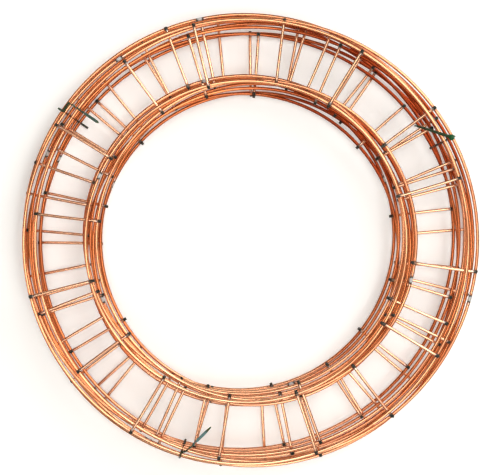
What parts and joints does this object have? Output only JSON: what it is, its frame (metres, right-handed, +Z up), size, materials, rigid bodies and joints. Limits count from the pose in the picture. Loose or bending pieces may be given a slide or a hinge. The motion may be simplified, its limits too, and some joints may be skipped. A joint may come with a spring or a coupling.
{
  "type": "wire wreath frame bundle",
  "caption": "Tied stack of flat round wreath frames: pairs of copper-finish wire hoops joined by straight welded rungs, held together by green twist ties.",
  "frame": {"origin": "on the table under the bundle's axis, in the plane of the ties' lower strands", "axes": "+Z up along the bundle's axis, +X to the right and +Y to the top of the reference picture"},
  "size_m": [0.3171, 0.3146, 0.0462],
  "materials": {
    "copper_wire": "drawn steel wire with a thin bright copper coat, burnt grey at the welds",
    "tie_plastic": "dark green soft plastic strip",
    "tie_wire": "plain annealed steel wire, seen only at the strip's cut ends"
  },
  "bodies": {
    "bottom_frame_and_ties": {"frame_01_outer_hoop": "copper_wire", "frame_01_inner_hoop": "copper_wire", "frame_01_rungs": "copper_wire", "tie_1_cover": "tie_plastic", "tie_1_core_wire": "tie_wire", "tie_2_cover": "tie_plastic", "tie_2_core_wire": "tie_wire", "tie_3_cover": "tie_plastic", "tie_3_core_wire": "tie_wire"},
    "frame_02": {"frame_02_outer_hoop": "copper_wire", "frame_02_inner_hoop": "copper_wire", "frame_02_rungs": "copper_wire"},
    "frame_03": {"frame_03_outer_hoop": "copper_wire", "frame_03_inner_hoop": "copper_wire", "frame_03_rungs": "copper_wire"},
    "frame_04": {"frame_04_outer_hoop": "copper_wire", "frame_04_inner_hoop": "copper_wire", "frame_04_rungs": "copper_wire"},
    "frame_05": {"frame_05_outer_hoop": "copper_wire", "frame_05_inner_hoop": "copper_wire", "frame_05_rungs": "copper_wire"},
    "frame_06": {"frame_06_outer_hoop": "copper_wire", "frame_06_inner_hoop": "copper_wire", "frame_06_rungs": "copper_wire"},
    "frame_07": {"frame_07_outer_hoop": "copper_wire", "frame_07_inner_hoop": "copper_wire", "frame_07_rungs": "copper_wire"},
    "frame_08": {"frame_08_outer_hoop": "copper_wire", "frame_08_inner_hoop": "copper_wire", "frame_08_rungs": "copper_wire"},
    "frame_09": {"frame_09_outer_hoop": "copper_wire", "frame_09_inner_hoop": "copper_wire", "frame_09_rungs": "copper_wire"},
    "frame_10": {"frame_10_outer_hoop": "copper_wire", "frame_10_inner_hoop": "copper_wire", "frame_10_rungs": "copper_wire"}
  },
  "joints": [
    {"name": "frame_02_turn", "type": "hinge", "parent": "bottom_frame_and_ties", "child": "frame_02", "pos_m": [-0.008, 0.0035, 0.00655], "axis": [0, 0, 1], "range_deg": [-25, 3]},
    {"name": "frame_03_turn", "type": "hinge", "parent": "bottom_frame_and_ties", "child": "frame_03", "pos_m": [-0.0055, -0.0065, 0.01075], "axis": [0, 0, 1], "range_deg": [-9, 11]},
    {"name": "frame_04_turn", "type": "hinge", "parent": "bottom_frame_and_ties", "child": "frame_04", "pos_m": [0.0045, 0, 0.01495], "axis": [0, 0, 1], "range_deg": [-1.5, 23.5]},
    {"name": "frame_05_turn", "type": "hinge", "parent": "bottom_frame_and_ties", "child": "frame_05", "pos_m": [-0.006, 0.0035, 0.01915], "axis": [0, 0, 1], "range_deg": [-1.5, 26]},
    {"name": "frame_06_turn", "type": "hinge", "parent": "bottom_frame_and_ties", "child": "frame_06", "pos_m": [-0.0015, 0.0005, 0.02335], "axis": [0, 0, 1], "range_deg": [-1.5, 10]},
    {"name": "frame_07_turn", "type": "hinge", "parent": "bottom_frame_and_ties", "child": "frame_07", "pos_m": [0.001, -0.0045, 0.02755], "axis": [0, 0, 1], "range_deg": [-8, 4]},
    {"name": "frame_08_turn", "type": "hinge", "parent": "bottom_frame_and_ties", "child": "frame_08", "pos_m": [-0.004, 0.0035, 0.03175], "axis": [0, 0, 1], "range_deg": [-13.5, 6]},
    {"name": "frame_09_turn", "type": "hinge", "parent": "bottom_frame_and_ties", "child": "frame_09", "pos_m": [0.004, 0, 0.03595], "axis": [0, 0, 1], "range_deg": [-7, 18]},
    {"name": "frame_10_turn", "type": "hinge", "parent": "bottom_frame_and_ties", "child": "frame_10", "pos_m": [-0.003, -0.001, 0.04015], "axis": [0, 0, 1], "range_deg": [-2, 9]}
  ]
}
